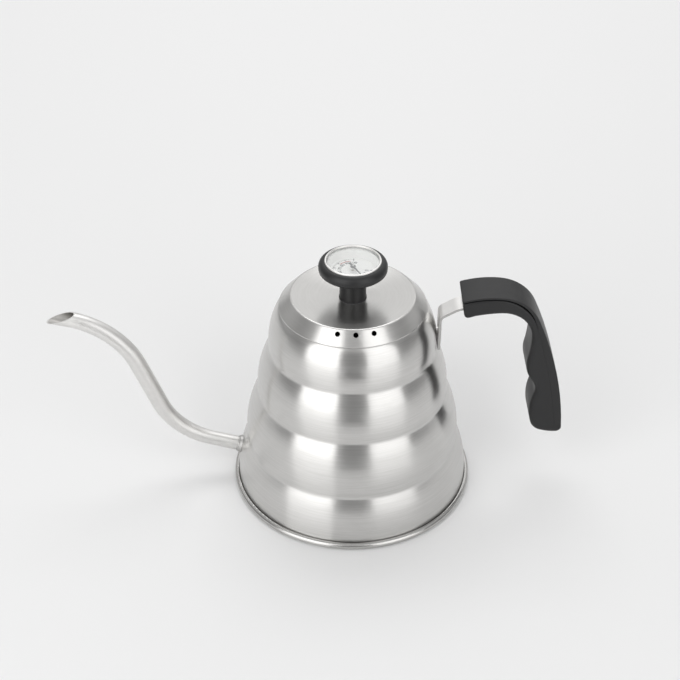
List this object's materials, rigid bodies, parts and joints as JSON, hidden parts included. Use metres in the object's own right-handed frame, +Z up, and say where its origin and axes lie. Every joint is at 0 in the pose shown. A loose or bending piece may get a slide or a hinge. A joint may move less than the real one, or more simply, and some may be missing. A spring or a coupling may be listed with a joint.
{
  "type": "gooseneck kettle",
  "caption": "Drip kettle of bulged steel tiers with a gooseneck spout, a black hook grip on a strap and a lift-off lid whose knob holds a dial thermometer.",
  "frame": {"origin": "middle of the underside of the base, on the surface that the kettle stands on", "axes": "+Z up along the axis of the body, +X from the spout towards the handle, +Y to the far side"},
  "size_m": [0.2987, 0.144, 0.1525],
  "materials": {
    "stainless": "satin, brushed round the body",
    "grip_plastic": "fine matt grain",
    "knob_plastic": "smooth satin",
    "fastener_steel": "plain turned",
    "silicone": "matt",
    "stud_brass": "plain turned",
    "gauge_steel": "polished",
    "dial_enamel": "satin enamel, printed scale",
    "ring_plastic": "satin",
    "window_glass": "clear",
    "bimetal": "bare rolled strip",
    "pointer_paint": "matt black"
  },
  "bodies": {
    "kettle": {"body_shell": "stainless", "base_plate": "stainless", "spout_tube": "stainless", "spout_weld": "stainless", "handle_strap": "stainless", "strap_rivets": "stainless", "grip_inner": "grip_plastic", "grip_cover": "grip_plastic", "grip_screws": "fastener_steel"},
    "lid": {"lid_skirt": "stainless", "lid_shell": "stainless", "knob_seal": "silicone", "lid_washer": "fastener_steel", "lid_nut": "fastener_steel", "knob_stud": "stud_brass", "knob": "knob_plastic", "gauge_case": "gauge_steel", "dial_face": "dial_enamel", "dial_ring": "ring_plastic", "lens_gasket": "silicone", "gauge_lens": "window_glass", "gauge_bezel": "gauge_steel", "probe_tube": "gauge_steel", "probe_plug": "gauge_steel", "spindle_bush": "stud_brass", "bimetal_coil": "bimetal"},
    "pointer": {"pointer": "pointer_paint", "spindle": "gauge_steel"}
  },
  "joints": [
    {"name": "lid_lift", "type": "slide", "parent": "kettle", "child": "lid", "axis": [0, 0, 1], "range_m": [0, 0.1]},
    {"name": "pointer_turn", "type": "hinge", "parent": "lid", "child": "pointer", "pos_m": [0, 0, 0.1479], "axis": [0, 0, -1], "range_deg": [-59.4, 210.6]}
  ]
}
